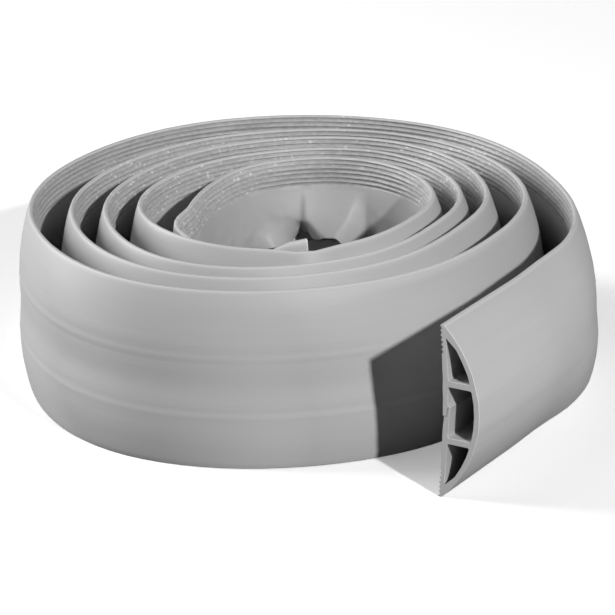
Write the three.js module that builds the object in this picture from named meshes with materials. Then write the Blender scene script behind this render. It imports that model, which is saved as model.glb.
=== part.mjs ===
// Floor cord cover: a three-channel strip of plastic, loosely coiled and standing on its long edge.
// Units are millimetres, +Z is up, and the strip's straight free end points along -Y.
import * as THREE from "three";
import { mergeVertices } from "three/addons/utils/BufferGeometryUtils.js";

// The strip's section. Across is measured along the width, out is measured from the flat base.
const WIDTH = 63.5;
const HEIGHT = 14;
const EDGE_THICKNESS = 1.4;
const BASE_WALL = 1.9;
const DOME_WALL = 1.9;
const WEB_WALL = 2;
const CHANNEL_WIDTH = 19;
const CHANNEL_TIP = 4.5;
const SLIT_GAP = 0.5;
const SLIT_LAP = 3;

// The base is ribbed along both long edges: the main grooves, counted from the edge.
const GROOVES = 3;
const GROOVE_PITCH = 3.6;
const GROOVE_DEPTH = 0.6;

// Bending flattens the coiled strip, bows its base inward and lets the dome sag between the two webs.
// The free end's base is almost flat and its dome is full.
const COILED_HEIGHT = 9;
const COILED_BOW = 3.9;
const COILED_SAG = 1;
const FREE_BOW = 0.3;
const FREE_SAG = 0;

// The straight free end: how far to the side of the coil's centre it runs, and how far it reaches past it.
const TAIL_SIDE = 110.5;
const TAIL_REACH = 93;

// Reach of the top rim from the coil's centre at every eighth of a turn, from the outer turn inward.
const RIM_REACH = [
  107.5, 99.5, 105, 102.5, 96.5, 99.5, 106, 92,
  81.5, 86.5, 89.5, 83, 78.5, 84.5, 91.5, 77,
  66, 72.5, 79.5, 72, 66.5, 72, 80, 66,
  56.5, 62, 65.5, 57.5, 54.5, 58.5, 58, 51,
  46, 51.5, 53.5, 45, 36, 40,
];
const KNOT_STEP = 45;

// The last stretch runs inward, then turns along the wall outside it and leans against it: its rim's reach,
// and how far its bottom edge stands outside the rim, in finer steps of angle.
const LAST_STRETCH_ANGLE = 1620;
const LAST_REACH = [36, 35.8, 37.2, 41, 50.4, 55.2, 55.2, 53.2, 48.2, 43];
const LAST_LEAN = [3, 1, -2, -6, -10.5, -14, -15.5, -14, -8, -4];
const LAST_KNOT_STEP = 15;
const INNER_END_ANGLE = 1744;

// The inner end presses the turn outside it into a kink: where, how far out, and how wide in degrees.
const KINK_ANGLE = 1384;
const KINK_REACH = 4.5;
const KINK_WIDTH = 9;

// How far the bottom edge stands outside the top rim at every eighth of a turn.
const LEAN = [9.5, 8, 3.5, 3, 3, 2, 8.5, 12];

// Angles, in degrees along the coil, between which one state of the strip turns into the next.
const JOIN_ANGLES = [-20, 10];
const LEAN_ANGLES = [-20, 40];
const FLATTEN_ANGLES = [-20, 30];
const STATION_STEP = 14;

const DOME_STEPS_TO_WEB = 4;
const ROOF_POINTS = 2;
const WELD_TOLERANCE = 1e-3;

// Height of the dome above its edges as a share of its full height, at a place across the strip.
function domeShare(across) {
  const half = WIDTH / 2;
  const rise = HEIGHT - EDGE_THICKNESS;
  const radius = (half * half + rise * rise) / (2 * rise);
  const fromMiddle = across - half;
  return (Math.sqrt(radius * radius - fromMiddle * fromMiddle) - radius + rise) / rise;
}

// Height of a channel's roof as a share of the clear height in the middle of the strip.
function roofShare(across) {
  const outside = EDGE_THICKNESS + (HEIGHT - EDGE_THICKNESS) * domeShare(across);
  return (outside - DOME_WALL - BASE_WALL) / (HEIGHT - DOME_WALL - BASE_WALL);
}

// The strip's outline and its two side channels, as lists of [across, out], at a height, a bow and a sag.
// The middle channel opens through the lapped slit, so it is part of the outline.
function sectionLoops({ height, bow, sag }) {
  const middle = WIDTH / 2;
  const clear = height - DOME_WALL - BASE_WALL;
  const channelSide = middle - CHANNEL_WIDTH / 2;
  const webSide = channelSide - WEB_WALL;
  const webMiddle = channelSide - WEB_WALL / 2;
  const sagAt = (across) => sag * Math.max(0, 1 - Math.abs(across - middle) / (middle - webMiddle));
  const domePoint = (across) => {
    const rise = (height - EDGE_THICKNESS) * domeShare(across);
    return [across, EDGE_THICKNESS + rise - sagAt(across)];
  };
  const roofPoint = (across) => [across, BASE_WALL + clear * roofShare(across) - sagAt(across)];
  const lipInner = (BASE_WALL + SLIT_GAP) / 2;
  const lipOuter = (BASE_WALL - SLIT_GAP) / 2;
  const lapLow = middle - SLIT_LAP / 2;
  const lapHigh = middle + SLIT_LAP / 2;
  const ribbed = [[0, 0]];
  for (let i = 0; i < GROOVES; i += 1) {
    ribbed.push([(i + 0.5) * GROOVE_PITCH, GROOVE_DEPTH], [(i + 1) * GROOVE_PITCH, 0]);
  }
  const outline = [
    ...ribbed,
    [webSide, 0],
    [lapLow - SLIT_GAP / 2, 0],
    [lapLow - SLIT_GAP / 2, lipInner],
    [lapHigh - SLIT_GAP / 2, lipInner],
    [lapHigh - SLIT_GAP / 2, BASE_WALL],
    [channelSide, BASE_WALL],
    roofPoint(channelSide),
    roofPoint(middle),
    roofPoint(WIDTH - channelSide),
    [WIDTH - channelSide, BASE_WALL],
    [lapHigh + SLIT_GAP / 2, BASE_WALL],
    [lapHigh + SLIT_GAP / 2, lipOuter],
    [lapLow + SLIT_GAP / 2, lipOuter],
    [lapLow + SLIT_GAP / 2, 0],
    [WIDTH - webSide, 0],
    ...ribbed.map(([across, out]) => [WIDTH - across, out]).reverse(),
  ];
  const domeHalf = [];
  for (let i = 0; i <= DOME_STEPS_TO_WEB; i += 1) {
    domeHalf.push((webMiddle * i) / DOME_STEPS_TO_WEB);
  }
  const domeDown = domeHalf.map((across) => domePoint(WIDTH - across));
  const domeUp = domeHalf.map((across) => domePoint(across));
  outline.push(...domeDown, domePoint(middle), ...domeUp.reverse());
  const lowerChannel = [[CHANNEL_TIP, BASE_WALL]];
  for (let i = 1; i <= ROOF_POINTS; i += 1) {
    lowerChannel.push(roofPoint(CHANNEL_TIP + ((webSide - CHANNEL_TIP) * i) / ROOF_POINTS));
  }
  lowerChannel.push([webSide, BASE_WALL]);
  const upperChannel = lowerChannel.map(([across, out]) => [WIDTH - across, out]).reverse();
  return [outline, lowerChannel, upperChannel].map((loop) => loop.map(([across, out]) => {
    const fromMiddle = across / middle - 1;
    return [across, out - bow * (1 - fromMiddle * fromMiddle)];
  }));
}

// A value that runs smoothly through evenly spaced knots; place is counted in knots.
function throughKnots(knots, place, closed) {
  const at = (i) => {
    const last = knots.length - 1;
    return closed ? knots[(i + knots.length) % knots.length] : knots[Math.min(Math.max(i, 0), last)];
  };
  const i = Math.floor(place);
  const t = place - i;
  const a = at(i - 1);
  const b = at(i);
  const c = at(i + 1);
  const d = at(i + 2);
  const curve = 2 * a - 5 * b + 4 * c - d;
  const cubic = 3 * b - a - 3 * c + d;
  return 0.5 * (2 * b + (c - a) * t + curve * t * t + cubic * t * t * t);
}

// The top rim's reach from the coil's centre at an angle along the coil.
function coiledReach(angle) {
  if (angle > LAST_STRETCH_ANGLE) {
    return throughKnots(LAST_REACH, (angle - LAST_STRETCH_ANGLE) / LAST_KNOT_STEP, false);
  }
  const fromKink = (angle - KINK_ANGLE) / KINK_WIDTH;
  const kink = KINK_REACH * Math.exp(-fromKink * fromKink);
  return throughKnots(RIM_REACH, Math.max(angle, 0) / KNOT_STEP, false) + kink;
}

// The top rim's place in plan at an angle along the coil.
function rimPlace(angle) {
  const radians = THREE.MathUtils.degToRad(angle);
  const coilReach = coiledReach(angle);
  const join = THREE.MathUtils.smoothstep(angle, ...JOIN_ANGLES);
  const lineReach = join < 1 ? TAIL_SIDE / Math.cos(radians) : 0;
  const reach = THREE.MathUtils.lerp(lineReach, coilReach, join);
  return new THREE.Vector2(reach * Math.cos(radians), reach * Math.sin(radians));
}

// How far the bottom edge stands outside the top rim at an angle along the coil.
function leanAt(angle) {
  if (angle > LAST_STRETCH_ANGLE) {
    return throughKnots(LAST_LEAN, (angle - LAST_STRETCH_ANGLE) / LAST_KNOT_STEP, false);
  }
  const inTurn = THREE.MathUtils.euclideanModulo(angle, 360);
  const coilLean = throughKnots(LEAN, inTurn / KNOT_STEP, true);
  return coilLean * THREE.MathUtils.smoothstep(angle, ...LEAN_ANGLES);
}

// The stations from the free end to the inner end: the rim's place, its outward side and the section's state.
function makeStations() {
  const freeEnd = new THREE.Vector2(TAIL_SIDE, -TAIL_REACH);
  const stations = [{ rim: freeEnd, outward: new THREE.Vector2(1, 0), lean: 0, coiled: 0 }];
  const nearby = 1;
  for (let angle = JOIN_ANGLES[0]; angle <= INNER_END_ANGLE; angle += STATION_STEP) {
    const ahead = rimPlace(angle + nearby).sub(rimPlace(angle - nearby)).normalize();
    stations.push({
      rim: rimPlace(angle),
      outward: new THREE.Vector2(ahead.y, -ahead.x),
      lean: leanAt(angle),
      coiled: THREE.MathUtils.smoothstep(angle, ...FLATTEN_ANGLES),
    });
  }
  return stations;
}

// The loops of one station's section, as points in space. The lowest corner stands on the floor.
function placedLoops({ rim, outward, lean, coiled }) {
  const state = {
    height: THREE.MathUtils.lerp(HEIGHT, COILED_HEIGHT, coiled),
    bow: THREE.MathUtils.lerp(FREE_BOW, COILED_BOW, coiled),
    sag: THREE.MathUtils.lerp(FREE_SAG, COILED_SAG, coiled),
  };
  const tall = Math.sqrt(WIDTH * WIDTH - lean * lean);
  const floor = Math.max(0, (-lean / WIDTH) * EDGE_THICKNESS);
  return sectionLoops(state).map((loop) => loop.map(([across, out]) => {
    const side = lean * (1 - across / WIDTH) + (out * tall) / WIDTH;
    const z = floor + (across * tall + out * lean) / WIDTH;
    return [rim.x + outward.x * side, rim.y + outward.y * side, z];
  }));
}

// One closed skin swept through the stations: every loop's walls, and a cap on each end.
function sweepStrip() {
  const stations = makeStations().map(placedLoops);
  const freeState = { height: HEIGHT, bow: FREE_BOW, sag: FREE_SAG };
  const flatLoops = sectionLoops(freeState).map((loop) => loop.map((p) => new THREE.Vector2(...p)));
  const capTriangles = THREE.ShapeUtils.triangulateShape(flatLoops[0], flatLoops.slice(1));
  const loopSizes = flatLoops.map((loop) => loop.length);
  const stationSize = loopSizes.reduce((sum, size) => sum + size, 0);
  const positions = stations.flat(3);
  const triangles = [];
  for (let s = 0; s < stations.length - 1; s += 1) {
    let first = s * stationSize;
    for (const size of loopSizes) {
      for (let i = 0; i < size; i += 1) {
        const a = first + i;
        const b = first + ((i + 1) % size);
        triangles.push(a, b, b + stationSize, a, b + stationSize, a + stationSize);
      }
      first += size;
    }
  }
  const lastStation = (stations.length - 1) * stationSize;
  for (const [a, b, c] of capTriangles) {
    triangles.push(c, b, a);
    triangles.push(a + lastStation, b + lastStation, c + lastStation);
  }
  const geometry = new THREE.BufferGeometry();
  geometry.setAttribute("position", new THREE.Float32BufferAttribute(positions, 3));
  geometry.setIndex(triangles);
  return mergeVertices(geometry, WELD_TOLERANCE);
}

// The origin is the middle of the strip's footprint, on the floor.
const strip = sweepStrip();
strip.computeBoundingBox();
const footprint = strip.boundingBox.getCenter(new THREE.Vector3());
strip.translate(-footprint.x, -footprint.y, -strip.boundingBox.min.z);
strip.computeVertexNormals();

const plastic = new THREE.MeshStandardMaterial({ color: 0xb4b4b4, roughness: 0.5, metalness: 0 });
const cordCover = new THREE.Mesh(strip, plastic);
cordCover.name = "cord_cover";

const model = new THREE.Group();
model.add(cordCover);

export default model;
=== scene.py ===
# Floor cord cover: a domed strip of soft gray plastic with three cable channels, loosely coiled and
# standing on its long edge. Everything is in metres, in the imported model's own frame.
import math
import bpy
import bmesh
import numpy as np
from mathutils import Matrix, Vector, noise


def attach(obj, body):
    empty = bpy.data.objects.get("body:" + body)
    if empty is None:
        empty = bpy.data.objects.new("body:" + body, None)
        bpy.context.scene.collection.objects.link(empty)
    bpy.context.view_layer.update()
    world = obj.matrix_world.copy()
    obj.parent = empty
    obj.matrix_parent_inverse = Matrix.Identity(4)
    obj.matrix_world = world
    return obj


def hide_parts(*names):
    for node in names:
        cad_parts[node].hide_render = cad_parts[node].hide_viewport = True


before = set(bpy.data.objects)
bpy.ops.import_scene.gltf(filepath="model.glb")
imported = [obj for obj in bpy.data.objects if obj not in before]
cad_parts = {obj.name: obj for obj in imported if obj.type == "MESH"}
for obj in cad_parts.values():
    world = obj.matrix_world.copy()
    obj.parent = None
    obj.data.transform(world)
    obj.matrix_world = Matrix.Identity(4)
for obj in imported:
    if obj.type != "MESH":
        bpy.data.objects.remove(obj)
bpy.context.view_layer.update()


# The floor is a plain pale board, far larger than the coil that stands on it.
# It glows a little for the camera, which lightens its shadows, and throws back only some of the light.
FLOOR_SIDE = 12.0
FLOOR_PALE = (0.93, 0.93, 0.93, 1.0)
FLOOR_BOUNCE = (0.15, 0.15, 0.15, 1.0)
FLOOR_GLOW = (0.3, 0.3, 0.3, 1.0)
FLOOR_ROUGHNESS = 0.9
FLOOR_SPECULAR = 0.1


def deselect_all():
    """Nothing stays selected or active, so the next operator acts only on what is made for it."""
    if bpy.context.object and bpy.context.object.mode == "EDIT":
        bpy.ops.object.mode_set(mode="OBJECT")
    bpy.ops.object.select_all(action="DESELECT")


def make_floor():
    deselect_all()
    bpy.ops.mesh.primitive_plane_add(size=FLOOR_SIDE, location=(0.0, 0.0, 0.0))
    floor = bpy.context.object
    floor.name = "floor"
    paint = bpy.data.materials.new("floor_paint")
    paint.use_nodes = True
    tree = paint.node_tree
    shader = tree.nodes["Principled BSDF"]
    shader.inputs["Roughness"].default_value = FLOOR_ROUGHNESS
    shader.inputs["Specular IOR Level"].default_value = FLOOR_SPECULAR
    shader.inputs["Emission Color"].default_value = FLOOR_GLOW
    path = tree.nodes.new("ShaderNodeLightPath")
    tree.links.new(path.outputs["Is Camera Ray"], shader.inputs["Emission Strength"])
    mix = tree.nodes.new("ShaderNodeMix")
    mix.data_type = "RGBA"
    mix.inputs["A"].default_value = FLOOR_BOUNCE
    mix.inputs["B"].default_value = FLOOR_PALE
    tree.links.new(path.outputs["Is Camera Ray"], mix.inputs["Factor"])
    tree.links.new(mix.outputs["Result"], shader.inputs["Base Color"])
    floor.data.materials.append(paint)
    return floor


make_floor()


# The cord cover is one length of soft PVC, extruded with a flat ribbed base, a domed back, two webs
# and a lapped slit, then cut square and rolled up by hand. Its section is drawn first, in the plane
# across the strip: y runs across the width and z out from the base, as the strip lies when it is used.
WIDTH = 0.0635
HEIGHT = 0.014
EDGE_THICKNESS = 0.0014
BASE_WALL = 0.0019
DOME_WALL = 0.0019
WEB_WALL = 0.002
CHANNEL_WIDTH = 0.019
CHANNEL_TIP = 0.0045
SLIT_GAP = 0.00026
SLIT_LAP = 0.003
MIDDLE = WIDTH / 2
CHANNEL_SIDE = MIDDLE - CHANNEL_WIDTH / 2
WEB_SIDE = CHANNEL_SIDE - WEB_WALL
WEB_MIDDLE = CHANNEL_SIDE - WEB_WALL / 2
LIP_INNER = (BASE_WALL + SLIT_GAP) / 2
LIP_OUTER = (BASE_WALL - SLIT_GAP) / 2
LAP_LOW = MIDDLE - SLIT_LAP / 2
LAP_HIGH = MIDDLE + SLIT_LAP / 2

# The base is flat between its two ribbed bands. All these places are counted from a long edge.
GROOVE_PLACES = [0.0013, 0.0029, 0.0046, 0.0063, 0.0081, 0.0098]
GROOVE_MOUTH = 0.0014
GROOVE_BED = 0.0004
GROOVE_DEPTH = 0.00055
BASE_PLACES = [
    0.0118, 0.0132, 0.0146, 0.016, 0.0174, 0.0188, 0.0202,
    0.0216, 0.023, 0.0244, 0.0258, 0.0271, 0.0284,
]
FLAP_PLACES = [0.0236, 0.025, 0.0264, 0.0276, 0.0288]
DOME_PLACES = [
    0.0018, 0.004, 0.0065, 0.009, 0.0115, 0.014, 0.0162, 0.0177, 0.0187, 0.0196,
    0.0205, 0.0214, 0.0223, 0.0233, 0.0243, 0.0252, 0.0261, 0.0273, 0.0293,
]
ROOF_PLACES = [0.0084, 0.0124, 0.0164]

EDGE_ROUND = 0.00045
LIP_ROUND = 0.0001
CHANNEL_ROUND = 0.0007
TIP_ROUND = 0.0004
START_SIZE = 0.001
SAME_PLACE = 1e-6


def dome_share(across):
    """Height of the dome above its edges as a share of its full height."""
    rise = HEIGHT - EDGE_THICKNESS
    radius = (MIDDLE * MIDDLE + rise * rise) / (2 * rise)
    from_middle = across - MIDDLE
    return (math.sqrt(radius * radius - from_middle * from_middle) - radius + rise) / rise


def dome_out(across, height):
    """How far out the dome's skin stands on a strip of that height."""
    return EDGE_THICKNESS + (height - EDGE_THICKNESS) * dome_share(across)


def roof_out(across, height):
    """How far out a channel's roof stands on a strip of that height."""
    clear_share = (dome_out(across, HEIGHT) - DOME_WALL - BASE_WALL) / (HEIGHT - DOME_WALL - BASE_WALL)
    return BASE_WALL + (height - DOME_WALL - BASE_WALL) * clear_share


def base_half():
    """The base from one long edge to the slit: first the ribbed band, then the smooth part."""
    points = []
    for place in GROOVE_PLACES:
        points.append((place - GROOVE_MOUTH / 2, 0.0))
        points.append((place - GROOVE_BED / 2, GROOVE_DEPTH))
        points.append((place + GROOVE_BED / 2, GROOVE_DEPTH))
        points.append((place + GROOVE_MOUTH / 2, 0.0))
    for place in BASE_PLACES:
        points.append((place, 0.0))
    return points


def outline_points():
    """The skin of the section: the base, the slit, the middle channel, the base again and the dome."""
    far = WIDTH - CHANNEL_SIDE
    halfway = (CHANNEL_SIDE + MIDDLE) / 2
    far_halfway = (far + MIDDLE) / 2
    points = [(0.0, 0.0)] + base_half()
    points += [
        (LAP_LOW - SLIT_GAP / 2, 0.0),
        (LAP_LOW - SLIT_GAP / 2, LIP_INNER),
        (LAP_HIGH - SLIT_GAP / 2, LIP_INNER),
        (LAP_HIGH - SLIT_GAP / 2, BASE_WALL),
    ]
    points += [(across, BASE_WALL) for across in reversed(FLAP_PLACES)]
    points += [
        (CHANNEL_SIDE, BASE_WALL),
        (CHANNEL_SIDE, roof_out(CHANNEL_SIDE, HEIGHT)),
        (halfway, roof_out(halfway, HEIGHT)),
        (MIDDLE, roof_out(MIDDLE, HEIGHT)),
        (far_halfway, roof_out(far_halfway, HEIGHT)),
        (far, roof_out(far, HEIGHT)),
        (far, BASE_WALL),
    ]
    points += [(WIDTH - across, BASE_WALL) for across in FLAP_PLACES]
    points += [
        (LAP_HIGH + SLIT_GAP / 2, BASE_WALL),
        (LAP_HIGH + SLIT_GAP / 2, LIP_OUTER),
        (LAP_LOW + SLIT_GAP / 2, LIP_OUTER),
        (LAP_LOW + SLIT_GAP / 2, 0.0),
    ]
    points += [(WIDTH - across, out) for across, out in reversed(base_half())]
    points += [(WIDTH, 0.0), (WIDTH, EDGE_THICKNESS)]
    points += [(WIDTH - across, dome_out(across, HEIGHT)) for across in DOME_PLACES]
    points += [(MIDDLE, dome_out(MIDDLE, HEIGHT))]
    points += [(across, dome_out(across, HEIGHT)) for across in reversed(DOME_PLACES)]
    points += [(0.0, EDGE_THICKNESS)]
    return points


def side_channel_points():
    """The lower side channel, from its thin tip along the roof to the web and back."""
    points = [(CHANNEL_TIP, BASE_WALL)]
    points += [(across, roof_out(across, HEIGHT)) for across in ROOF_PLACES]
    points += [(WEB_SIDE, roof_out(WEB_SIDE, HEIGHT)), (WEB_SIDE, BASE_WALL)]
    return points


def draw_loop(points):
    """Draws a closed line: a plane is merged to one point, and that is extruded from place to place."""
    bpy.ops.mesh.select_all(action="DESELECT")
    bpy.ops.mesh.primitive_plane_add(size=START_SIZE, location=(0.0, 0.0, 0.0))
    bpy.ops.mesh.merge(type="CENTER")
    across, out = points[0]
    bpy.ops.transform.translate(value=(0.0, across, out))
    bm = bmesh.from_edit_mesh(bpy.context.object.data)
    first = len(bm.verts) - 1
    for next_across, next_out in points[1:]:
        step = (0.0, next_across - across, next_out - out)
        bpy.ops.mesh.extrude_vertices_move(TRANSFORM_OT_translate={"value": step})
        across = next_across
        out = next_out
    bm = bmesh.from_edit_mesh(bpy.context.object.data)
    bm.verts.ensure_lookup_table()
    bm.verts[first].select = True
    bmesh.update_edit_mesh(bpy.context.object.data)
    bpy.ops.mesh.edge_face_add()


def select_edges(wanted):
    """Selects the edges whose two ends are as wanted, and nothing else."""
    bpy.ops.mesh.select_all(action="DESELECT")
    mesh = bpy.context.object.data
    bm = bmesh.from_edit_mesh(mesh)
    for edge in bm.edges:
        if wanted(edge.verts[0].co, edge.verts[1].co):
            edge.select = True
    bm.select_flush_mode()
    bmesh.update_edit_mesh(mesh)


def round_corners(corners, radius):
    """Rounds the long edges that pass through these corners of the section."""
    def passes_through(start, end):
        if abs(start.x - end.x) < SAME_PLACE:
            return False
        for across, out in corners:
            if abs(start.y - across) < SAME_PLACE and abs(start.z - out) < SAME_PLACE:
                return True
        return False

    select_edges(passes_through)
    bpy.ops.mesh.bevel(offset=radius, segments=2, affect="EDGES")


def round_section():
    """Rounds the long edges, the corners of the channels and the lips of the slit."""
    far = WIDTH - CHANNEL_SIDE
    roof = roof_out(CHANNEL_SIDE, HEIGHT)
    web_roof = roof_out(WEB_SIDE, HEIGHT)
    middle_channel = [(CHANNEL_SIDE, BASE_WALL), (CHANNEL_SIDE, roof), (far, roof), (far, BASE_WALL)]
    round_corners([(0.0, 0.0), (0.0, EDGE_THICKNESS), (WIDTH, 0.0), (WIDTH, EDGE_THICKNESS)], EDGE_ROUND)
    round_corners(middle_channel, CHANNEL_ROUND)
    round_corners([(WEB_SIDE, BASE_WALL), (WEB_SIDE, web_roof)], CHANNEL_ROUND)
    round_corners([(WIDTH - WEB_SIDE, BASE_WALL), (WIDTH - WEB_SIDE, web_roof)], CHANNEL_ROUND)
    round_corners([(CHANNEL_TIP, BASE_WALL), (WIDTH - CHANNEL_TIP, BASE_WALL)], TIP_ROUND)
    round_corners([(LAP_LOW - SLIT_GAP / 2, 0.0), (LAP_LOW + SLIT_GAP / 2, 0.0)], LIP_ROUND)


# The strip is rolled up loosely by hand and stands on its long edge. The reach of its top rim from the
# coil's middle, eight times a turn from the outer turn inward, its lean and its flattening are those
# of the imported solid.
COILED_HEIGHT = 0.009
COILED_BOW = 0.0039
COILED_SAG = 0.001
FREE_BOW = 0.0003
FREE_ARCH = 0.0015
TAIL_SIDE = 0.1105
TAIL_REACH = 0.093
RIM_REACH = [
    107.5, 99.5, 105, 102.5, 96.5, 99.5, 106, 92,
    81.5, 86.5, 89.5, 83, 78.5, 84.5, 91.5, 77,
    66, 72.5, 79.5, 72, 66.5, 72, 80, 66,
    56.5, 62, 65.5, 57.5, 54.5, 58.5, 58, 51,
    46, 51.5, 53.5, 45, 36, 40,
]
KNOT_STEP = 45
LAST_STRETCH_ANGLE = 1620
LAST_REACH = [36, 35.8, 37.2, 41, 50.4, 55.2, 55.2, 53.2, 48.2, 43]
LAST_LEAN = [3, 1, -2, -6, -10.5, -14, -15.5, -14, -8, -4]
LAST_KNOT_STEP = 15
INNER_END_ANGLE = 1744
KINK_ANGLE = 1384
KINK_REACH = 4.5
KINK_WIDTH = 9
LEAN = [9.5, 8, 3.5, 3, 3, 2, 8.5, 12]
JOIN_ANGLES = (-20, 10)
LEAN_ANGLES = (-20, 40)
FLATTEN_ANGLES = (-20, 30)
MILLIMETRE = 0.001


def smooth_between(value, limits):
    """0 before the first limit, 1 after the second, and a smooth step between."""
    share = min(max((value - limits[0]) / (limits[1] - limits[0]), 0.0), 1.0)
    return share * share * (3 - 2 * share)


def through_knots(knots, place, closed):
    """A value that runs smoothly through evenly spaced knots; place is counted in knots."""
    last = len(knots) - 1
    i = math.floor(place)
    t = place - i
    near = []
    for k in (i - 1, i, i + 1, i + 2):
        near.append(knots[k % len(knots)] if closed else knots[min(max(k, 0), last)])
    a, b, c, d = near
    slope = c - a
    bend = 2 * a - 5 * b + 4 * c - d
    twist = 3 * b - a - 3 * c + d
    return 0.5 * (2 * b + slope * t + bend * t * t + twist * t ** 3)


def rim_place(angle):
    """The top rim's place in plan, from the coil's middle, at an angle along the coil."""
    if angle > LAST_STRETCH_ANGLE:
        reach = through_knots(LAST_REACH, (angle - LAST_STRETCH_ANGLE) / LAST_KNOT_STEP, False)
    else:
        kink = KINK_REACH * math.exp(-(((angle - KINK_ANGLE) / KINK_WIDTH) ** 2))
        reach = through_knots(RIM_REACH, max(angle, 0.0) / KNOT_STEP, False) + kink
    reach *= MILLIMETRE
    turn = math.radians(angle)
    join = smooth_between(angle, JOIN_ANGLES)
    if join < 1.0:
        reach = reach * join + TAIL_SIDE / math.cos(turn) * (1 - join)
    return reach * math.cos(turn), reach * math.sin(turn)


def lean_at(angle):
    """How far the bottom edge stands outside the top rim."""
    if angle > LAST_STRETCH_ANGLE:
        return through_knots(LAST_LEAN, (angle - LAST_STRETCH_ANGLE) / LAST_KNOT_STEP, False) * MILLIMETRE
    lean = through_knots(LEAN, (angle % 360) / KNOT_STEP, True)
    return lean * smooth_between(angle, LEAN_ANGLES) * MILLIMETRE


ANGLE_STEP = 0.5
RING_STEP = 0.0064
FINE_STRETCHES = [(0.0, 0.27), (0.11, 0.215), (0.13, 0.19)]
FINE_FLAP = (0.12, 0.2)
FINE_FLAP_CUTS = 2
FINE_FLAP_WIDTH = 0.0008
RING_MERGE = 1e-5


def coil_route():
    """The rim's route from the free end inward: length, angle, place, outward side, lean, coiled share."""
    rows = []
    tail_start = (TAIL_SIDE, -TAIL_REACH)
    rows.append([0.0, JOIN_ANGLES[0], *tail_start, 1.0, 0.0, 0.0, 0.0])
    before = tail_start
    length = 0.0
    steps = int((INNER_END_ANGLE - JOIN_ANGLES[0]) / ANGLE_STEP)
    for i in range(steps + 1):
        angle = JOIN_ANGLES[0] + i * ANGLE_STEP
        place = rim_place(angle)
        ahead = rim_place(angle + 1)
        behind = rim_place(angle - 1)
        run = (ahead[0] - behind[0], ahead[1] - behind[1])
        size = math.hypot(*run)
        length += math.hypot(place[0] - before[0], place[1] - before[1])
        coiled = smooth_between(angle, FLATTEN_ANGLES)
        rows.append([length, angle, *place, run[1] / size, -run[0] / size, lean_at(angle), coiled])
        before = place
    return np.array(rows).T


def draw_section():
    """Draws the section, with its three channels, as faces in the plane across the strip."""
    draw_loop(outline_points())
    lower = side_channel_points()
    draw_loop(lower)
    draw_loop([(WIDTH - across, out) for across, out in lower])


def repeat_rings(strip, rings, ring):
    """Repeats the first ring of the strip along its length, with an array whose copies are merged."""
    repeat = strip.modifiers.new("rings", "ARRAY")
    repeat.count = rings
    repeat.use_relative_offset = False
    repeat.use_constant_offset = True
    repeat.constant_offset_displace = (ring, 0.0, 0.0)
    repeat.use_merge_vertices = True
    repeat.merge_threshold = RING_MERGE
    bpy.ops.object.modifier_apply(modifier="rings")


def close_ends(length, ring):
    """Fills the plastic's section at both ends, and leaves the channels open."""
    for end in (0.0, length):
        select_edges(lambda a, b: abs(a.x - end) < ring / 4 and abs(b.x - end) < ring / 4)
        bpy.ops.mesh.fill(use_beauty=True)


def add_fine_rings(length, ring):
    """Halves the rings' spacing along the stretches near the inner end."""
    for near, far in FINE_STRETCHES:
        def in_stretch(start, end):
            low, high = sorted((start.x, end.x))
            return high - low > ring / 16 and length - far < low and high < length - near + ring / 16

        select_edges(in_stretch)
        bpy.ops.mesh.subdivide(number_cuts=1, smoothness=0.0)


def cut_fine_flap(length):
    """Cuts the upper flap into narrower faces across the strip, where it has buckled."""
    def on_flap(start, end):
        low, high = sorted((start.y, end.y))
        across_strip = high - low > abs(start.x - end.x) and high - low > FINE_FLAP_WIDTH
        in_base = max(start.z, end.z) < BASE_WALL + SAME_PLACE
        between = low > LAP_LOW and high < WIDTH - BASE_PLACES[0] + SAME_PLACE
        return across_strip and in_base and between and FINE_FLAP[0] < length - start.x < FINE_FLAP[1]

    select_edges(on_flap)
    bpy.ops.mesh.subdivide(number_cuts=FINE_FLAP_CUTS, smoothness=0.0)


def draw_strip(length):
    """The straight strip as it leaves the die: the section, extruded one ring, rounded and repeated."""
    deselect_all()
    bpy.ops.mesh.primitive_plane_add(size=START_SIZE, location=(0.0, 0.0, 0.0))
    strip = bpy.context.object
    strip.name = "cord_cover_strip"
    bpy.ops.object.mode_set(mode="EDIT")
    bpy.ops.mesh.delete(type="VERT")
    draw_section()
    rings = round(length / RING_STEP)
    ring = length / rings
    bpy.ops.mesh.select_all(action="SELECT")
    bpy.ops.mesh.extrude_region_move(TRANSFORM_OT_translate={"value": (ring, 0.0, 0.0)})
    bpy.ops.mesh.select_all(action="SELECT")
    bpy.ops.mesh.normals_make_consistent(inside=False)
    round_section()
    bpy.ops.object.mode_set(mode="OBJECT")
    repeat_rings(strip, rings, ring)
    bpy.ops.object.mode_set(mode="EDIT")
    close_ends(length, ring)
    bpy.ops.mesh.select_mode(type="EDGE")
    add_fine_rings(length, ring)
    cut_fine_flap(length)
    bpy.ops.mesh.select_mode(type="VERT")
    bpy.ops.mesh.select_all(action="SELECT")
    bpy.ops.mesh.normals_make_consistent(inside=False)
    bpy.ops.object.mode_set(mode="OBJECT")
    return strip


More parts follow.
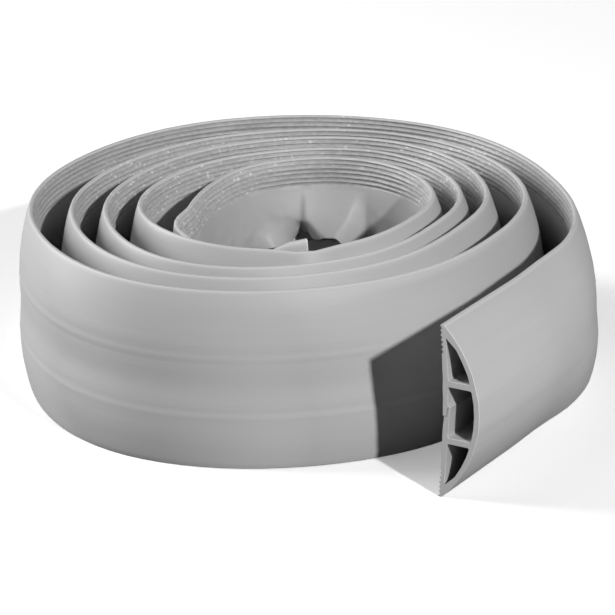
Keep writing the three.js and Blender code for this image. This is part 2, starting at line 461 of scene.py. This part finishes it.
# Where the last turn bends tightest, the base beside the slit has buckled. The upper flap turns inward
# as a tongue, from a line below its ribs, sharp on one side and soft on the other. Beside it the flap
# dips into the channel, and low bulges stand on both sides. Angles are counted along the coil.
FOLD_TOP = 0.0108
FOLD_STEPS = 20
FOLD_PLACES = (0.0, 0.42, 1.0)
TONGUE_TURN = 32.0
TONGUE_HINGE = 0.09
TONGUE_BEND = 36.0
TONGUE_BEND_PLACE = (0.36, 0.74)
TONGUE_CURL = 14.0
TONGUE_CURL_PLACE = (0.8, 1.0)
TONGUE_SOFT_EDGE = (1531.0, 1533.0, 1538.5)
TONGUE_SOFT_WIDTH = 7.0
TONGUE_SHARP_EDGE = (1557.0, 1555.0, 1546.5)
TONGUE_SHARP_WIDTHS = (24.0, 20.0, 5.0, 2.5)
TONGUE_SHARP_PLACES = (0.0, 0.42, 0.58, 1.0)
TONGUE_STEP_WIDTH = 2.4
TONGUE_STEP_SHARE = 0.28
TONGUE_SLIDE = 0.5
TONGUE_SLIDE_WIDTH = 7.0
POCKET_TURN = -46.0
POCKET_ANGLE = 1556.0
POCKET_WIDTH = 7.0
POCKET_TOP = (0.42, 0.62)

# Each bulge has its angle, half its width, its turn in degrees, and where down the flap it starts and
# is full.
BULGES = [
    (1575.5, 6.0, 34.0, 0.45, 0.95),
    (1586.0, 4.5, -16.0, 0.5, 1.0),
    (1519.0, 4.5, 16.0, 0.25, 0.6),
    (1527.5, 4.5, -24.0, 0.6, 0.85),
    (1513.0, 5.0, -10.0, 0.5, 0.9),
]
CREASING = 0.00035
CREASING_PITCH = 0.0045
CREASING_LAYER = 7.0
CREASING_ANGLES = (1500.0, 1530.0)
CREASING_REACH = 0.004


def rise_between(values, low, high):
    """0 up to low, 1 from high on, and a smooth step between, for many values at once."""
    share = np.clip((values - low) / (high - low), 0.0, 1.0)
    return share * share * (3 - 2 * share)


def hump(values, middle, half_width):
    """A smooth hump, 1 at its middle, for many values at once."""
    return np.exp(-((values - middle) / half_width) ** 2)


def tongue_share(angle, down):
    """How much of the tongue's turn a place takes: all of it between the sharp and the soft edge."""
    sharp_edge = np.interp(down, FOLD_PLACES, TONGUE_SHARP_EDGE)
    sharp_width = np.interp(down, TONGUE_SHARP_PLACES, TONGUE_SHARP_WIDTHS)
    ramp = np.clip(1 - (angle - sharp_edge) / sharp_width, 0.0, 1.0)
    step = 1 - rise_between(angle - sharp_edge, 0.0, TONGUE_STEP_WIDTH)
    soft_edge = np.interp(down, FOLD_PLACES, TONGUE_SOFT_EDGE)
    inside_soft = rise_between(angle - soft_edge, -TONGUE_SOFT_WIDTH / 2, TONGUE_SOFT_WIDTH / 2)
    return (ramp + (step - ramp) * TONGUE_STEP_SHARE) * inside_soft


def flap_turn(angle, down):
    """How far, in radians, the upper flap is turned inward at an angle and a share of its length."""
    tongue = tongue_share(angle, down)
    hinge = TONGUE_TURN * (1 - np.exp(-down / TONGUE_HINGE))
    bend = TONGUE_BEND * rise_between(down, *TONGUE_BEND_PLACE)
    turn = tongue * (hinge + bend + TONGUE_CURL * rise_between(down, *TONGUE_CURL_PLACE))
    pocket = hump(angle, POCKET_ANGLE, POCKET_WIDTH) * rise_between(down, *POCKET_TOP)
    turn += POCKET_TURN * pocket * (1 - tongue)
    for bulge_angle, half_width, degrees, top, full in BULGES:
        turn += degrees * hump(angle, bulge_angle, half_width) * rise_between(down, top, full)
    return np.radians(turn)


def turned_flap(angle, across, out):
    """How far the flap's points move across and out, as it turns inward from the fold line down."""
    start = WIDTH - FOLD_TOP
    length = np.clip(start - across, 0.0, None)
    down = length / (start - LAP_LOW)
    reach_across = np.zeros_like(across)
    reach_out = np.zeros_like(across)
    for i in range(FOLD_STEPS):
        turn = flap_turn(angle, down * (i + 0.5) / FOLD_STEPS)
        reach_across += np.cos(turn) * length / FOLD_STEPS
        reach_out -= np.sin(turn) * length / FOLD_STEPS
    turn = flap_turn(angle, down)
    fold_across = length - reach_across - out * np.sin(turn)
    fold_out = reach_out + out * np.cos(turn) - out
    folded = across < start
    return fold_across * folded, fold_out * folded


def crumpling(angle, along, across, hold):
    """The uneven skin of the buckled flap."""
    folded = rise_between(-across, FOLD_TOP - WIDTH, -MIDDLE - CREASING_REACH)
    creased = hold * folded * rise_between(angle, *CREASING_ANGLES)
    places = zip(along / CREASING_PITCH, across / CREASING_PITCH)
    crumple = [noise.noise(Vector((u, v, CREASING_LAYER))) for u, v in places]
    return CREASING * creased * np.array(crumple)


# Rolling the strip up is made another way, by moving its points in code, because no bend tool
# follows a spiral. Bending presses the dome down, bows the base inward and lets the back sag
# between the webs, so those places move too.
CREASE_SLIP = 0.0028
SAG_POWER = 1.35
CREASE_RIDGE = 0.00018
CREASE_RIDGE_WIDTH = 0.0009
CREASE_HOLLOW = 0.0003
CREASE_HOLLOW_WIDTH = 0.003
FREE_RIDGE_SHARE = 0.5

# The lower flap stands in behind the upper one at the slit, and further where the upper has buckled.
LIP_STEP = 0.0009
LIP_DRAWN_IN = 0.0034
LIP_DRAWN_ANGLE = 1564.0
LIP_DRAWN_WIDTH = 30.0

# The last stretch's top edge sags where it leans on the turn outside it; its cut corner springs up.
RIM_DIP = 0.0017
RIM_DIP_START = (1690.0, 1706.0)
RIM_DIP_END = (1729.0, 1738.0)
RIM_DIP_DEPTH = 0.02
RIM_LIFT = 0.0006

# The cut was made by hand, so its edges wander a little, and the bent ribs are slightly uneven.
CUT_WAVE = 0.00022
CUT_WAVE_LENGTH = 0.012
CUT_WAVE_SCALE = (260, 260, 40)
RIB_WAVE = 0.00022
RIB_WAVE_SCALE = (210, 900)
RIB_WAVE_LAYER = 0.3


def pressed_out(across, out, coiled):
    """How far out each point stands once the dome is pressed down, and the unpressed channels' roof."""
    height = HEIGHT + (COILED_HEIGHT - HEIGHT) * coiled
    share = np.array([dome_share(min(max(a, 0.0), WIDTH)) for a in across])
    full_skin = EDGE_THICKNESS + (HEIGHT - EDGE_THICKNESS) * share
    skin = EDGE_THICKNESS + (height - EDGE_THICKNESS) * share
    clear = (full_skin - DOME_WALL - BASE_WALL) / (HEIGHT - DOME_WALL - BASE_WALL)
    full_roof = full_skin - DOME_WALL
    roof = BASE_WALL + (height - DOME_WALL - BASE_WALL) * clear
    span = MIDDLE - WEB_MIDDLE
    from_crease = np.abs(across + CREASE_SLIP * coiled - MIDDLE)
    from_ridge = np.abs(from_crease - span)
    ridge = CREASE_RIDGE * hump(from_ridge, 0.0, CREASE_RIDGE_WIDTH)
    ridge -= CREASE_HOLLOW * hump(from_ridge, 0.0, CREASE_HOLLOW_WIDTH)
    sag = COILED_SAG * coiled * (1 - np.minimum(from_crease / span, 1.0) ** SAG_POWER)
    skin = skin - sag + ridge * (FREE_RIDGE_SHARE + (1 - FREE_RIDGE_SHARE) * coiled)
    roof = roof - COILED_SAG * coiled * np.maximum(0.0, 1 - np.abs(across - MIDDLE) / span)
    full_depth = np.maximum(full_roof - BASE_WALL, SAME_PLACE)
    in_channel = BASE_WALL + (out - BASE_WALL) * (roof - BASE_WALL) / full_depth
    in_wall = roof + (out - full_roof) * (skin - roof) / DOME_WALL
    raised = np.where(out <= BASE_WALL, out, np.where(out <= full_roof, in_channel, in_wall))
    edge = (across < CHANNEL_TIP) | (across > WIDTH - CHANNEL_TIP)
    return np.where(edge, out * skin / full_skin, raised), full_roof


def flap_hold(across, out, full_roof):
    """1 on the upper flap and its lip, and fading from there up through the section."""
    upper_flap = (across > LAP_HIGH) | ((across > LAP_LOW) & (out < BASE_WALL / 2))
    full_depth = np.maximum(full_roof - BASE_WALL, SAME_PLACE)
    return np.clip(1 - (out - BASE_WALL) / full_depth, 0.0, 1.0) * upper_flap


def lip_shift(angle, across, out):
    """How far the lower flap stands in behind the upper one, growing from the web to its lip."""
    at_lap = (across < LAP_HIGH + SLIT_GAP) & (out > LIP_OUTER - RING_MERGE)
    lower_flap = ((across < LAP_LOW) | at_lap) & (out <= BASE_WALL + SAME_PLACE) & (across > WEB_MIDDLE)
    step = LIP_STEP + LIP_DRAWN_IN * hump(angle, LIP_DRAWN_ANGLE, LIP_DRAWN_WIDTH)
    return step * lower_flap * ((across - WEB_MIDDLE) / (LAP_HIGH - WEB_MIDDLE)) ** 2


def rim_shift(angle, across):
    """How far the last stretch's top edge dips, and its cut corner rises."""
    lift = rise_between(angle, *RIM_DIP_END)
    dip = rise_between(angle, *RIM_DIP_START) * (1 - lift)
    return (RIM_LIFT * lift - RIM_DIP * dip) * rise_between(across, WIDTH - RIM_DIP_DEPTH, WIDTH)


def cut_waves(along, across, out):
    """The uneven outline that the hand cut leaves at the free end."""
    scale_across, scale_out, scale_along = CUT_WAVE_SCALE
    places = zip(across * scale_across, out * scale_out, along * scale_along)
    rough = [noise.noise(Vector(place)) for place in places]
    return CUT_WAVE * np.exp(-along / CUT_WAVE_LENGTH) * np.array(rough)


def rib_waves(along, across, out):
    """The unevenness of the ribs' crests."""
    in_band = np.abs(across - MIDDLE) > MIDDLE - GROOVE_PLACES[-1] - GROOVE_MOUTH
    crest = (out < GROOVE_DEPTH / 2) & in_band
    scale_along, scale_across = RIB_WAVE_SCALE
    places = zip(along * scale_along, across * scale_across)
    wave = [noise.noise(Vector((u, v, RIB_WAVE_LAYER))) for u, v in places]
    return crest * RIB_WAVE * np.array(wave)


def footprint_shift():
    """How far the solid's origin is from the coil's middle; its free end's base bows in by FREE_BOW."""
    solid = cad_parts["cord_cover"]
    corners = np.array([solid.matrix_world @ v.co for v in solid.data.vertices])
    tail = corners[corners[:, 0] > corners[:, 0].max() - HEIGHT]
    return TAIL_SIDE + HEIGHT - FREE_BOW - corners[:, 0].max(), -TAIL_REACH - tail[:, 1].min()


def stood_in_coil(route, slid, across, raised):
    """The points' places in the coil: on the route, leaning, and standing on the long edge."""
    x, y, outward_x, outward_y, lean = [np.interp(slid, route[0], row) for row in route[2:7]]
    size = np.hypot(outward_x, outward_y)
    outward_x /= size
    outward_y /= size
    tall = np.sqrt(WIDTH * WIDTH - lean * lean)
    stand = np.maximum(0.0, -lean / WIDTH * EDGE_THICKNESS)
    aside = lean * (1 - across / WIDTH) + raised * tall / WIDTH
    up = stand + (across * tall + raised * lean) / WIDTH
    shift_x, shift_y = footprint_shift()
    return np.stack([x + outward_x * aside - shift_x, y + outward_y * aside - shift_y, up], axis=1)


def roll_up(strip, route):
    """Moves every point of the strip to its place in the coil; its old place stays as an attribute."""
    flat = np.empty(len(strip.data.vertices) * 3)
    strip.data.vertices.foreach_get("co", flat)
    along, across, out = flat.reshape(-1, 3).T
    kept = strip.data.attributes.new("strip_place", "FLOAT_VECTOR", "POINT")
    kept.data.foreach_set("vector", flat.astype(np.float32))
    angle, coiled = [np.interp(along, route[0], route[row]) for row in (1, 7)]
    raised, full_roof = pressed_out(across, out, coiled)
    hold = flap_hold(across, out, full_roof)
    fold_across, fold_out = turned_flap(angle, across, np.minimum(raised, BASE_WALL))
    bow = (COILED_BOW + FREE_ARCH) * coiled - FREE_ARCH
    raised = raised + fold_out * hold - bow * (1 - (across / MIDDLE - 1) ** 2)
    across = across + fold_across * hold
    slide = hump(angle, TONGUE_SHARP_EDGE[0], TONGUE_SLIDE_WIDTH) * TONGUE_SLIDE
    slid = along - np.minimum(fold_out, 0.0) * hold * slide
    across = across + rim_shift(angle, across)
    raised = raised + lip_shift(angle, across, out)
    raised = raised + crumpling(angle, along, across, hold)
    raised = raised + cut_waves(along, across, out)
    raised = raised + rib_waves(along, across, out) * coiled
    strip.data.vertices.foreach_set("co", stood_in_coil(route, slid, across, raised).ravel())
    strip.data.update()


# The plastic is plain light gray PVC with a satin skin straight from the die: faint lines along its
# length, a little cloudiness and fine scuffs on the ribs. Pale flecks on the ribs are partly stretch marks
# and partly painted glints. The rims and the cut's edges carry a painted highlight, the ribs' grooves
# carry painted shade, and the cut face is painted paler as painted light.
PLASTIC_GRAY = 0.46
# The cut face is painted paler than the skin, as painted light that brightens the end.
CUT_FACE_PAINTED_LIGHT = 0.55
# The cut edge gray is a painted highlight in a thin band on the skin along the cut.
CUT_EDGE_HIGHLIGHT_GRAY = 0.72
# The rim gray is a painted highlight laid along both long edges of the strip.
RIM_HIGHLIGHT_GRAY = 0.56
# The fleck gray is partly stretch marks on the bent ribs and partly painted glints.
FLECK_GRAY = 0.7
# The grooves' beds are darkened by this share as painted shade, and less where the ribs bend.
GROOVE_PAINTED_SHADE = 0.3
RIM_HIGHLIGHT_SHARE = 0.8
FLECK_SHARE = 0.85
BENDS_SHADE_LOSS = 0.6
SPECULAR = 0.35

# Where the finishes and the painted light lie, in metres: the painted rim highlight and the ribs from the
# long edge, the base from its face, and the cut and its painted edge highlight from the strip's end.
RIM_HIGHLIGHT_BAND = (0.0011, 0.0003)
RIBBED_BAND = (0.0112, 0.0102)
BASE_FACE = (0.001, 0.0007)
CUT_HIGHLIGHT_BAND = (0.0007, 0.0001)
CUT_FACE = (0.00008, 0.00002)

# The patterns' repeats per metre along the strip, across it and out from the base.
LINES_STRETCH = (9.0, 1500.0, 300.0)
STREAKS_STRETCH = (14.0, 160.0, 60.0)
BENDS_STRETCH = (16.0, 60.0, 1.0)
BENDS_RANGE = (0.36, 0.62)
DOTS_STRETCH = (430.0, 780.0, 1.0)
DOTS_PICKED = (0.6, 0.95)
DOTS_RAGGED = 1.7
DOTS_RADIUS = 0.5
DOTS_SOFTNESS = (0.0, 0.3)
WEAVE_STRETCH = (420.0, 900.0, 1.0)
SAW_STRETCH = (1.0, 300.0, 2600.0)
CLOUDS_SCALE = 26.0
PITS_SCALE = 1400.0

# How much each pattern changes the gray, the roughness and, in metres, the height.
LINES_TONE = 0.03
CLOUDS_TONE = 0.03
STREAKS_TONE = 0.03
WEAVE_TONE = 0.24
ROUGHNESS = 0.44
STREAKS_ROUGHNESS = 0.16
CUT_ROUGHNESS = 0.25
LINES_DEPTH = 0.00003
PITS_DEPTH = 0.00001
FLECKS_DEPTH = 0.0001
WEAVE_DEPTH = 0.00014
SAW_DEPTH = 0.00012
BUMP_STRENGTH = 0.7
SMOOTH_DEGREES = 35


def add_math(tree, operation, first, second, clamp=False):
    """One Math node; each input is a socket or a number."""
    node = tree.nodes.new("ShaderNodeMath")
    node.operation = operation
    node.use_clamp = clamp
    for socket, value in zip(node.inputs, (first, second)):
        if isinstance(value, (int, float)):
            socket.default_value = value
        else:
            tree.links.new(value, socket)
    return node.outputs[0]


def add_share(tree, total, value, share):
    """A running total, with a share of a value added to it."""
    return add_math(tree, "ADD", total, add_math(tree, "MULTIPLY", value, share))


def add_ramp(tree, value, limits):
    """0 up to the first limit, 1 from the second on, and a smooth rise between."""
    node = tree.nodes.new("ShaderNodeMapRange")
    node.interpolation_type = "SMOOTHSTEP"
    tree.links.new(value, node.inputs["Value"])
    node.inputs["From Min"].default_value = limits[0]
    node.inputs["From Max"].default_value = limits[1]
    return node.outputs["Result"]


def add_noise(tree, place, scale, detail, stretch=(1.0, 1.0, 1.0)):
    """A cloud pattern on a place, stretched as the strip is drawn out."""
    mapping = tree.nodes.new("ShaderNodeMapping")
    mapping.inputs["Scale"].default_value = stretch
    tree.links.new(place, mapping.inputs["Vector"])
    node = tree.nodes.new("ShaderNodeTexNoise")
    node.inputs["Scale"].default_value = scale
    node.inputs["Detail"].default_value = detail
    tree.links.new(mapping.outputs["Vector"], node.inputs["Vector"])
    return node.outputs["Fac"]


def add_dots(tree, place):
    """Small scattered dots of uneven size and ragged edge, in some of the cells of an uneven grid."""
    mapping = tree.nodes.new("ShaderNodeMapping")
    mapping.inputs["Scale"].default_value = DOTS_STRETCH
    tree.links.new(place, mapping.inputs["Vector"])
    ragged = tree.nodes.new("ShaderNodeTexNoise")
    ragged.inputs["Scale"].default_value = DOTS_RAGGED
    tree.links.new(mapping.outputs["Vector"], ragged.inputs["Vector"])
    torn = tree.nodes.new("ShaderNodeVectorMath")
    tree.links.new(mapping.outputs["Vector"], torn.inputs[0])
    tree.links.new(ragged.outputs["Color"], torn.inputs[1])
    cells = tree.nodes.new("ShaderNodeTexVoronoi")
    cells.voronoi_dimensions = "2D"
    cells.inputs["Scale"].default_value = 1.0
    tree.links.new(torn.outputs["Vector"], cells.inputs["Vector"])
    pick = tree.nodes.new("ShaderNodeSeparateColor")
    tree.links.new(cells.outputs["Color"], pick.inputs["Color"])
    picked = add_ramp(tree, pick.outputs["Red"], DOTS_PICKED)
    size = add_math(tree, "MULTIPLY", picked, DOTS_RADIUS)
    inside = add_math(tree, "SUBTRACT", size, cells.outputs["Distance"])
    return add_ramp(tree, inside, DOTS_SOFTNESS)


def add_tint(tree, share, under, gray):
    """A gray laid over what is under it, by share."""
    node = tree.nodes.new("ShaderNodeMix")
    node.data_type = "RGBA"
    tree.links.new(share, node.inputs["Factor"])
    tree.links.new(under, node.inputs["A"])
    node.inputs["B"].default_value = (gray, gray, gray, 1.0)
    return node.outputs["Result"]


def plastic_material(length):
    plastic = bpy.data.materials.new("light_gray_plastic_skin")
    plastic.use_nodes = True
    tree = plastic.node_tree
    shader = tree.nodes["Principled BSDF"]
    shader.inputs["Specular IOR Level"].default_value = SPECULAR
    strip_place = tree.nodes.new("ShaderNodeAttribute")
    strip_place.attribute_name = "strip_place"
    flat = strip_place.outputs["Vector"]
    split = tree.nodes.new("ShaderNodeSeparateXYZ")
    tree.links.new(flat, split.inputs["Vector"])
    along, across, out = split.outputs
    room_place = tree.nodes.new("ShaderNodeTexCoord").outputs["Object"]

    from_middle = add_math(tree, "ABSOLUTE", add_math(tree, "SUBTRACT", across, MIDDLE), 0.0)
    from_edge = add_math(tree, "SUBTRACT", MIDDLE, from_middle)
    on_base = add_ramp(tree, out, BASE_FACE)
    ribbed = add_math(tree, "MULTIPLY", add_ramp(tree, from_edge, RIBBED_BAND), on_base)
    # The band along both long edges takes a painted rim highlight.
    rim = add_ramp(tree, from_edge, RIM_HIGHLIGHT_BAND)
    from_end = add_math(tree, "MINIMUM", along, add_math(tree, "SUBTRACT", length, along))
    cut = add_ramp(tree, from_end, CUT_FACE)

    lines = add_noise(tree, flat, 1.0, 3.0, LINES_STRETCH)
    clouds = add_noise(tree, room_place, CLOUDS_SCALE, 3.0)
    streaks = add_noise(tree, flat, 1.0, 2.0, STREAKS_STRETCH)
    bends = add_ramp(tree, add_noise(tree, flat, 1.0, 2.0, BENDS_STRETCH), BENDS_RANGE)
    # Painted shade in the ribs' grooves, deeper in the bed and weakened at the bends.
    groove_shade_kept = add_math(tree, "SUBTRACT", 1.0, add_math(tree, "MULTIPLY", bends, BENDS_SHADE_LOSS))
    shaded_ribs = add_math(tree, "MULTIPLY", ribbed, groove_shade_kept)
    painted_groove_shade = add_math(tree, "MULTIPLY", shaded_ribs, add_ramp(tree, out, (0.0, GROOVE_DEPTH)))
    # Pale flecks on the ribs, partly stretch marks and partly painted glints, strongest at the bends.
    flecks = add_math(tree, "MULTIPLY", add_math(tree, "MULTIPLY", add_dots(tree, flat), bends), ribbed)
    weave = add_noise(tree, flat, 1.0, 1.0, WEAVE_STRETCH)
    weave = add_math(tree, "MULTIPLY", add_math(tree, "SUBTRACT", weave, 0.5), ribbed)

    darkest = PLASTIC_GRAY - (LINES_TONE + CLOUDS_TONE + STREAKS_TONE) / 2
    level = add_math(tree, "ADD", add_math(tree, "MULTIPLY", lines, LINES_TONE), darkest)
    level = add_share(tree, level, clouds, CLOUDS_TONE)
    level = add_share(tree, level, streaks, STREAKS_TONE)
    level = add_share(tree, level, weave, WEAVE_TONE)
    lit = add_math(tree, "SUBTRACT", 1.0, add_math(tree, "MULTIPLY", painted_groove_shade, GROOVE_PAINTED_SHADE))
    level = add_math(tree, "MULTIPLY", level, lit)
    shade = tree.nodes.new("ShaderNodeCombineColor")
    for channel in ("Red", "Green", "Blue"):
        tree.links.new(level, shade.inputs[channel])
    # A painted highlight along the rims.
    color = add_tint(tree, add_math(tree, "MULTIPLY", rim, RIM_HIGHLIGHT_SHARE), shade.outputs["Color"], RIM_HIGHLIGHT_GRAY)
    # The flecks: partly stretch marks, partly painted glints.
    color = add_tint(tree, add_math(tree, "MULTIPLY", flecks, FLECK_SHARE), color, FLECK_GRAY)
    # A painted highlight along the cut's edges.
    color = add_tint(tree, add_ramp(tree, from_end, CUT_HIGHLIGHT_BAND), color, CUT_EDGE_HIGHLIGHT_GRAY)
    # The cut face, painted paler as painted light.
    color = add_tint(tree, cut, color, CUT_FACE_PAINTED_LIGHT)
    tree.links.new(color, shader.inputs["Base Color"])

    gloss = add_math(tree, "ADD", add_math(tree, "MULTIPLY", streaks, STREAKS_ROUGHNESS), ROUGHNESS)
    gloss = add_math(tree, "ADD", gloss, add_math(tree, "MULTIPLY", cut, CUT_ROUGHNESS), True)
    tree.links.new(gloss, shader.inputs["Roughness"])

    pits = add_noise(tree, room_place, PITS_SCALE, 2.0)
    saw = add_math(tree, "MULTIPLY", add_noise(tree, flat, 1.0, 2.0, SAW_STRETCH), cut)
    height = add_math(tree, "MULTIPLY", lines, LINES_DEPTH)
    height = add_share(tree, height, pits, PITS_DEPTH)
    height = add_share(tree, height, flecks, FLECKS_DEPTH)
    height = add_share(tree, height, weave, WEAVE_DEPTH)
    height = add_share(tree, height, saw, SAW_DEPTH)
    bump = tree.nodes.new("ShaderNodeBump")
    bump.inputs["Distance"].default_value = 1.0
    bump.inputs["Strength"].default_value = BUMP_STRENGTH
    tree.links.new(height, bump.inputs["Height"])
    tree.links.new(bump.outputs["Normal"], shader.inputs["Normal"])
    return plastic


route = coil_route()
strip = draw_strip(route[0][-1])
roll_up(strip, route)
strip.data.materials.append(plastic_material(route[0][-1]))
deselect_all()
strip.select_set(True)
bpy.context.view_layer.objects.active = strip
bpy.ops.object.shade_smooth_by_angle(angle=math.radians(SMOOTH_DEGREES))
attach(strip, "root")
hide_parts("cord_cover")


# The camera stands where the photograph's did, round to the right and a little above the floor, with a
# long lens. It aims at a point counted from the coil's middle, as the strip's route is.
CAMERA_TURN = math.radians(30)
CAMERA_HEIGHT = math.radians(20)
CAMERA_DISTANCE = 1.478
CAMERA_AIM = (0.01696, -0.02138, 0.030)
FOCAL_PIXELS = 4000
IMAGE_PIXELS = 615
SENSOR_WIDTH = 36.0


def make_camera():
    bpy.ops.object.camera_add()
    camera = bpy.context.object
    camera.name = "camera"
    camera.data.sensor_width = SENSOR_WIDTH
    camera.data.lens = SENSOR_WIDTH * FOCAL_PIXELS / IMAGE_PIXELS
    back = Vector((
        math.sin(CAMERA_TURN) * math.cos(CAMERA_HEIGHT),
        -math.cos(CAMERA_TURN) * math.cos(CAMERA_HEIGHT),
        math.sin(CAMERA_HEIGHT),
    ))
    shift_x, shift_y = footprint_shift()
    camera.location = Vector(CAMERA_AIM) - Vector((shift_x, shift_y, 0.0)) + back * CAMERA_DISTANCE
    camera.rotation_euler = (math.pi / 2 - CAMERA_HEIGHT, 0.0, CAMERA_TURN)
    bpy.context.scene.camera = camera


make_camera()


# Light: one small lamp high on the right casts the free end's shadow. Three broad soft lamps on the
# left, from low to high, and a low one on the right fill in, and the room itself is nearly dark.
ROOM_GLOW = 0.0005


def add_lamp(name, turn, height, distance, size, power):
    """A square lamp that looks at the coil; turn is counted from +X, against the clock."""
    turn = math.radians(turn)
    height = math.radians(height)
    level = math.cos(height)
    away = Vector((math.cos(turn) * level, math.sin(turn) * level, math.sin(height)))
    bpy.ops.object.light_add(type="AREA", location=away * distance)
    lamp = bpy.context.object
    lamp.name = name
    lamp.data.size = size
    lamp.data.energy = power
    lamp.rotation_euler = away.to_track_quat("Z", "Y").to_euler()


add_lamp("key_lamp", -28.5, 31.0, 2.5, 0.09, 50.0)
add_lamp("left_lamp", -172.0, 8.0, 2.0, 0.7, 25.0)
add_lamp("high_left_lamp", -160.0, 30.0, 2.0, 0.7, 27.0)
add_lamp("top_lamp", -150.0, 60.0, 2.0, 0.7, 3.0)
add_lamp("right_lamp", 3.0, 2.5, 2.0, 0.5, 15.0)
room = bpy.data.worlds.new("room")
room.use_nodes = True
room.node_tree.nodes["Background"].inputs["Color"].default_value = (1.0, 1.0, 1.0, 1.0)
room.node_tree.nodes["Background"].inputs["Strength"].default_value = ROOM_GLOW
bpy.context.scene.world = room
bpy.context.scene.view_settings.view_transform = "Standard"
